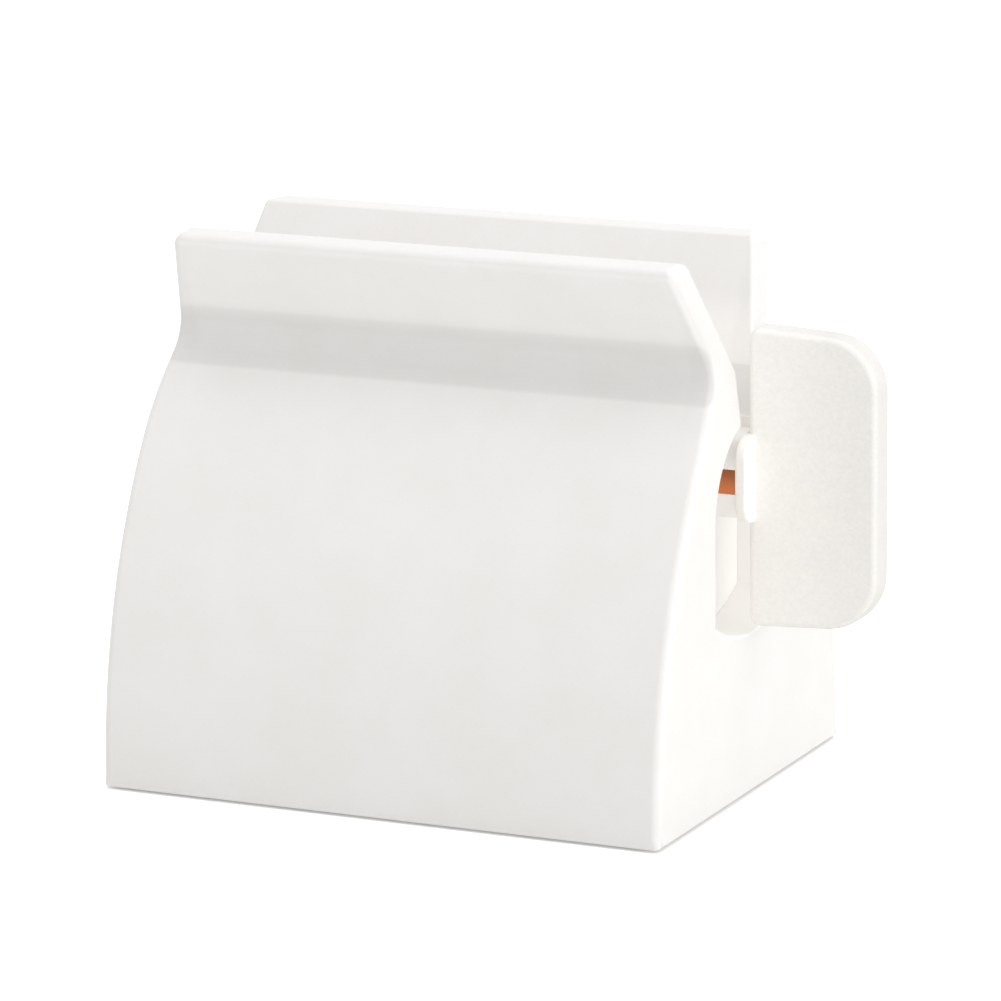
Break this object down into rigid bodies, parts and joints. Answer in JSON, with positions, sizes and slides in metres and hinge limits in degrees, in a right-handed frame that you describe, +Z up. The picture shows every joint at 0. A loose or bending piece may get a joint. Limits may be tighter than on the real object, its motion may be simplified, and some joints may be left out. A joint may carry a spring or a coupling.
{
  "type": "toothpaste tube squeezer stand",
  "caption": "Free-standing toothpaste tube squeezer: a hollow bell-shaped stand with flared lips over a winding chamber, and a slotted winding shaft turned by a flat paddle.",
  "frame": {"origin": "on the table, under the middle of the stand's foot, where the non-slip pad rests", "axes": "+X along the winding shaft towards the paddle, +Z up, -Y towards the front"},
  "size_m": [0.0986, 0.064, 0.072],
  "materials": {
    "stand_shell": "smooth satin",
    "bearing": "smooth satin",
    "shaft": "smooth satin",
    "paddle": "fine grained",
    "grip_liner": "soft matt",
    "end_cap": "smooth satin",
    "base_plate": "matt",
    "base_pad": "matt"
  },
  "bodies": {
    "stand": {"body": "stand_shell", "base_plate": "base_plate", "base_pad": "base_pad", "bearing_right": "bearing", "bearing_left": "bearing"},
    "key": {"shaft": "shaft", "grip_liner": "grip_liner", "paddle": "paddle", "end_cap": "end_cap"}
  },
  "joints": [
    {"name": "key_turn", "type": "hinge", "parent": "stand", "child": "key", "pos_m": [0, 0, 0.0428], "axis": [1, 0, 0], "continuous": true}
  ]
}
